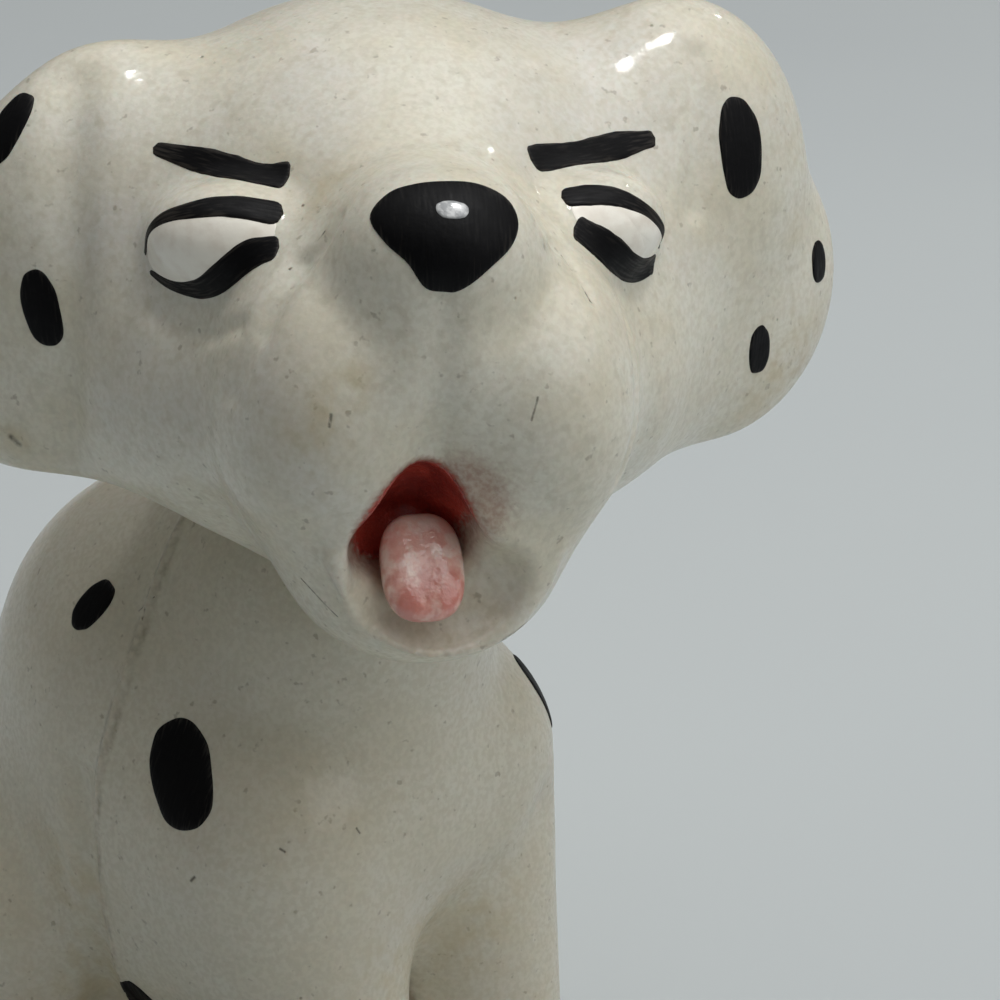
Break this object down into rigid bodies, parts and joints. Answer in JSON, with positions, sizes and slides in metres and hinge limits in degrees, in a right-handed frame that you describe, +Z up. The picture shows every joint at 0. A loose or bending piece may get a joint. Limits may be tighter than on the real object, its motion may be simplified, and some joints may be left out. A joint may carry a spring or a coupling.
{
  "type": "yawning puppy figure",
  "caption": "Small hollow-cast figure of a sitting puppy with a spotted white coat, its head turned aside and thrown up in a wide yawn.",
  "frame": {"origin": "on the plane of the flat base, under the chest, midway between the forelegs", "axes": "+Z up, the body faces -Y, +X is the puppy's left side"},
  "size_m": [0.0659, 0.0911, 0.1066],
  "materials": {
    "glazed_plaster": "cream-white, glossy, finely crackled and stained glaze over a cast body",
    "bond_plaster": "matte, the joint's thin fill, stained darker than the castings",
    "black_enamel": "glossy black, brushed on by hand in one thick coat",
    "grey_enamel": "glossy pale grey dab",
    "white_enamel": "glossy white, a little cooler than the glaze round it",
    "red_enamel": "satin deep red, sprayed thin towards its edge",
    "pink_enamel": "glossy mottled pink over the same cast body"
  },
  "bodies": {
    "root": {"body_casting": "glazed_plaster", "head_casting": "glazed_plaster", "neck_bond": "bond_plaster", "mouth_lining": "red_enamel", "tongue": "pink_enamel", "nose_enamel": "black_enamel", "nose_glint": "grey_enamel", "brow_strokes": "black_enamel", "upper_lid_strokes": "black_enamel", "lower_lid_strokes": "black_enamel", "eye_whites": "white_enamel", "head_spots": "black_enamel", "body_spots": "black_enamel"}
  },
  "joints": []
}
